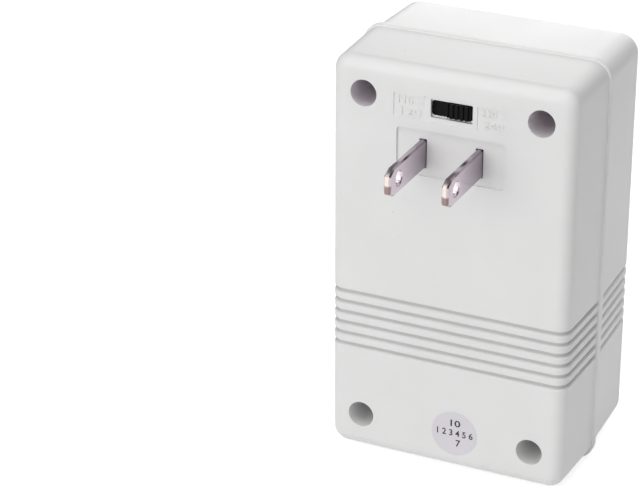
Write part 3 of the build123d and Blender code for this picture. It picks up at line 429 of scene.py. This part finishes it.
# painted shade: darkens the middle of each groove
groove_shade = remap(shell_tree, offset, half_floor, half_mouth, 1.0, 0.0)
for limit in (
    (steps, -0.5, -0.45, 0.0, 1.0),
    (steps, groove_count - 0.55, groove_count - 0.5, 1.0, 0.0),
    (from_band, band_half_depth, band_half_depth + band_fade, 0.0, 1.0),
):
    groove_shade = math_node(shell_tree, "MULTIPLY", remap(shell_tree, *limit), groove_shade)
groove_shaded_tone = tinted(shell_tree, window_painted_shade, groove_shade, groove_shade_tone)
shell_tree.links.new(groove_shaded_tone, shell_shader.inputs["Base Color"])
print("grooves from z", round(groove_top / mm, 2), "mm down, every", groove_pitch / mm, "mm")

# %% [markdown]
# Metals differ by tint and by the marks of their making. The blades are
# stamped and nickel plated, the switch frame is tinned steel, the contacts are
# bare copper alloy, and rolled sheet shows fine lines along one direction. A
# noise stretched along the rolling direction gives these lines.

# %% Metals
patch_scale = 240
line_depth = 0.02 * mm
line_strength = 0.08


def metal(name, colour, roughness, stretch, lines=0.25, cloud=0.06):
    """Rolled or plated metal, its lines along the axis with the lowest scale."""
    material, tree, shader = new_material(name)
    coords = tree.nodes.new("ShaderNodeTexCoord").outputs["Object"]
    mapping = tree.nodes.new("ShaderNodeMapping")
    mapping.inputs["Scale"].default_value = stretch
    tree.links.new(coords, mapping.inputs["Vector"])
    rolled = noise(tree, 1.0, 3, mapping.outputs["Vector"]).outputs["Fac"]
    patches = noise(tree, patch_scale, 2, coords).outputs["Fac"]
    tint = tree.nodes.new("ShaderNodeMix")
    tint.data_type = "RGBA"
    tint.inputs["A"].default_value = (*[c * (1 - cloud) for c in colour], 1)
    tint.inputs["B"].default_value = (*[min(1, c * (1 + cloud)) for c in colour], 1)
    tree.links.new(patches, tint.inputs["Factor"])
    tree.links.new(tint.outputs["Result"], shader.inputs["Base Color"])
    shader.inputs["Metallic"].default_value = 1.0
    low, high = roughness * (1 - lines), roughness * (1 + lines)
    rough = remap(tree, rolled, 0.3, 0.7, low, high)
    tree.links.new(rough, shader.inputs["Roughness"])
    dent = tree.nodes.new("ShaderNodeBump")
    dent.inputs["Strength"].default_value = line_strength
    dent.inputs["Distance"].default_value = line_depth
    tree.links.new(rolled, dent.inputs["Height"])
    tree.links.new(dent.outputs["Normal"], shader.inputs["Normal"])
    return material


along_y = (1500, 60, 1500)
even = (1500, 1500, 1500)
finishes["zinc_screw"] = metal("zinc screw", (0.55, 0.55, 0.56), 0.32, even)
finishes["switch_steel"] = metal("tinned steel", (0.97, 0.96, 0.97), 0.3, even)
finishes["contact_copper"] = metal("spring copper", (0.46, 0.15, 0.05), 0.34, along_y, lines=0.08)
finishes["tinned_copper"] = metal("tinned copper", (0.72, 0.71, 0.68), 0.3, even)
finishes["core_steel"] = metal("core sheets", (0.20, 0.20, 0.22), 0.45, (90, 2500, 90))
finishes["enamelled_wire"] = metal("enamelled wire", (0.62, 0.22, 0.07), 0.3, (200, 200, 4000))
print("finishes:", len(finishes))

# %% [markdown]
# The blades are nickel over brass. Their plating is smooth with a lilac cast,
# and its colour is painted darker towards the root as painted shade. Years of
# plugging have worn it off the nose, which shows cream brass above and brown
# tarnish below, and the cut edges have gone brown. Position masks put each
# tone in its place, and a noise frays them.

# %% Worn nickel and painted root shade on the blades
def mix_colours(tree, factor, first, second):
    """Mix two colours, each a plain tuple or a socket, by a factor socket."""
    node = tree.nodes.new("ShaderNodeMix")
    node.data_type = "RGBA"
    tree.links.new(factor, node.inputs["Factor"])
    for label, colour in (("A", first), ("B", second)):
        if isinstance(colour, tuple):
            node.inputs[label].default_value = (*colour, 1)
        else:
            tree.links.new(colour, node.inputs[label])
    return node.outputs["Result"]


blade_tip_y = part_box("blade_left")[1][1]
fray = 1.6 * mm
root_shade_share = 0.7
nose_start = 0.9 * mm
nose_full = 0.3 * mm
tarnish_top = 0.45 * mm
root_shade_nickel = (0.34, 0.285, 0.34)
bright_nickel = (0.80, 0.70, 0.775)
cream_brass = (0.70, 0.62, 0.585)
brown_tarnish = (0.27, 0.20, 0.185)
cut_edge = (0.13, 0.08, 0.085)
nickel, tree, shader = new_material("worn nickel with painted root shade")
coordinates = tree.nodes.new("ShaderNodeTexCoord")
split = tree.nodes.new("ShaderNodeSeparateXYZ")
tree.links.new(coordinates.outputs["Object"], split.inputs[0])
facing = tree.nodes.new("ShaderNodeSeparateXYZ")
tree.links.new(coordinates.outputs["Normal"], facing.inputs[0])
patches = noise(tree, 420, 3, coordinates.outputs["Object"]).outputs["Fac"]
frayed = math_node(tree, "MULTIPLY", math_node(tree, "SUBTRACT", patches, 0.5), fray)
along = math_node(tree, "ADD", split.outputs["Y"], frayed)
height = math_node(tree, "ADD", split.outputs["Z"], frayed)
# painted shade: the plating darkens from the tip towards the root
root_shade = remap(tree, along, rear_y, rear_y + root_shade_share * blade_tip_y, 0.0, 1.0)
nose = remap(tree, along, blade_tip_y - nose_start, blade_tip_y - nose_full, 0.0, 1.0)
low = remap(tree, height, -tarnish_top, 0.0, 1.0, 0.0)
plate = mix_colours(tree, root_shade, root_shade_nickel, bright_nickel)
brass = mix_colours(tree, low, cream_brass, brown_tarnish)
tone = mix_colours(tree, nose, plate, brass)
across = math_node(tree, "ABSOLUTE", facing.outputs["X"], 0.0)
slant = math_node(tree, "MULTIPLY", across, math_node(tree, "SUBTRACT", 1.0, across))
edge = remap(tree, slant, 0.1, 0.2, 0.0, 0.35)
tree.links.new(mix_colours(tree, edge, tone, cut_edge), shader.inputs["Base Color"])
shader.inputs["Metallic"].default_value = 1.0
tree.links.new(remap(tree, patches, 0.3, 0.7, 0.17, 0.24), shader.inputs["Roughness"])
finishes["nickel_plate"] = nickel
print("blade tip at", round(blade_tip_y / mm, 1), "mm")

# %% [markdown]
# The light's body is dyed epoxy: mostly colour, a little light passing through
# and a glossy skin. A dark crimson with a clear coat reads right when the
# light is off.

# %% Red light
material, tree, shader = new_material("red light")
coords = tree.nodes.new("ShaderNodeTexCoord").outputs["Object"]
depth = noise(tree, 500, 2, coords)
tint = tree.nodes.new("ShaderNodeMix")
tint.data_type = "RGBA"
tint.inputs["A"].default_value = (0.33, 0.004, 0.02, 1)
tint.inputs["B"].default_value = (0.50, 0.015, 0.05, 1)
tree.links.new(depth.outputs["Fac"], tint.inputs["Factor"])
tree.links.new(tint.outputs["Result"], shader.inputs["Base Color"])
shader.inputs["Roughness"].default_value = 0.12
shader.inputs["Coat Weight"].default_value = 0.5
shader.inputs["Subsurface Weight"].default_value = 0.2
shader.inputs["Subsurface Scale"].default_value = 0.8 * mm
finishes["light_red"] = material
print("red light:", len(tree.nodes), "nodes")

# %% [markdown]
# Every node of the record names a material slot, so one table of finishes
# dresses them all. A node keeps its own mesh and only gets the finish.

# %% Dress the nodes
slots = {part["node"]: part["material_slot"] for part in frame["record"]["subparts"]}
for name, piece in nodes.items():
    piece.data.materials.clear()
    piece.data.materials.append(finishes[slots[name]])
print("dressed:", len(nodes))

# %% [markdown]
# The two sunken fields beside the selector carry raised figures, moulded with
# the shell, that say which way the knob sets the voltage. They are text, turned
# into a mesh and set on the floor of the field. The rear face is read from
# behind, so the text turns half round. The figures could be part of the solid
# too, but figures this small are quicker to change as text.

# %% Signs made from text
front_turn = (radians(90), 0, 0)
rear_turn = (radians(90), 0, radians(180))


def sign(name, words, size, width, place, turn, thickness, finish, heavy=0.0):
    """Text of a given width as a thin mesh, centred on a place on the front or rear."""
    bpy.ops.object.select_all(action="DESELECT")
    bpy.ops.object.text_add(location=place, rotation=turn)
    text = bpy.context.object
    text.data.body = words
    text.data.size = size
    text.data.align_x = "CENTER"
    text.data.align_y = "CENTER"
    text.data.offset = heavy
    text.data.extrude = thickness / 2
    text.data.resolution_u = 4
    bpy.context.view_layer.update()
    text.scale = (width / text.dimensions.x, 1, 1)
    bpy.ops.object.convert(target="MESH")
    bpy.ops.object.transform_apply(location=True, rotation=True, scale=True)
    piece = bpy.context.object
    piece.name = name
    piece.data.materials.clear()
    piece.data.materials.append(finish)
    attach(piece, "converter")


field_x = 9.4 * mm
field_z = 10.2 * mm
field_depth = 0.2 * mm
field_floor = rear_y - field_depth
raised = 0.2 * mm
row_rise = 1.25 * mm
figure_size = 2.4 * mm
white = finishes["shell_plastic"]
rows = {1: ("110 ~", "120"), -1: ("220 ~", "240")}
for side, (top_words, low_words) in rows.items():
    for words, rise in ((top_words, row_rise), (low_words, -row_rise)):
        where = (side * field_x, field_floor + raised / 2, field_z + rise)
        name = "raised_" + words.split()[0]
        wide = 5.6 * mm if "~" in words else 4.6 * mm
        sign(name, words, figure_size, wide, where, rear_turn, raised, white)

# %% [markdown]
# The front is printed in black and dark grey ink: two small marks between the
# openings, three lines above the ribs and two short rows on each side of the
# light. Ink is a film, so each sign stands three hundredths of a millimetre
# proud. An image texture would need its own mapping, so the ink is text too.

# %% Front print
film = 0.03 * mm


def print_front(name, words, size, width, x, z, heavy=0.0):
    """One line of ink on the front face, at a height over the band's foot."""
    where = (x * mm, front_y - film / 2, foot.z + z * mm)
    finish, weight = (bold_ink, heavy * mm) if heavy else (ink, 0.0)
    size, width = size * mm, width * mm
    sign(name, words, size, width, where, front_turn, film, finish, weight)


print_front("ink_mark", "~", 4.0, 2.6, 0, 64.1)
print_front("ink_mark_low", "50 / 60", 1.7, 6.6, 0, 61.2, 0.03)
print_front("ink_upper", "110  120  220  240", 2.9, 32.4, 0, 53.9)
print_front("ink_large", "220-110", 4.3, 31.6, 0, 48.8, 0.22)
print_front("ink_lower", "50 / 60  ~  110 / 240", 3.3, 30.0, 0, 43.2)
row_x = 12.6
row_z = 11.85
row_pitch = 2.3
row_width = 20.2
low, high = "110 / 120   50 / 60", "220 / 240   50 / 60"
for side, pair in ((-1, ("1 : " + high, "2 : " + low)), (1, ("1 : " + low, "2 : " + high))):
    for row, words in enumerate(pair):
        name = "ink_row_" + str(row) + ("_left" if side < 0 else "_right")
        print_front(name, words, 1.55, row_width, side * row_x, row_z - row * row_pitch, 0.03)

# %% [markdown]
# The round sticker carries plain stamped figures in three short rows. They are
# made as the front print is, and their ink is less even in tone, because a
# stamp is pressed by hand.

# %% Sticker print
stamp_weight = 0.03 * mm


def print_sticker(name, words, size, width, x, z):
    """One line of ink on the sticker, measured from its middle as read from behind."""
    where = (sticker_centre.x - x * mm, sticker_y + film / 2, sticker_centre.z + z * mm)
    size, width = size * mm, width * mm
    sign(name, words, size, width, where, rear_turn, film, stamp_ink, stamp_weight)


print_sticker("stamp_top", "10", 2.2, 2.3, 0.0, 2.5)
print_sticker("stamp_middle", "1 2 3 4 5 6", 2.1, 8.4, 0.0, 0.1)
print_sticker("stamp_low", "7", 2.3, 1.1, 0.9, -2.3)
print("sticker at", [round(v / mm, 2) for v in sticker_centre])
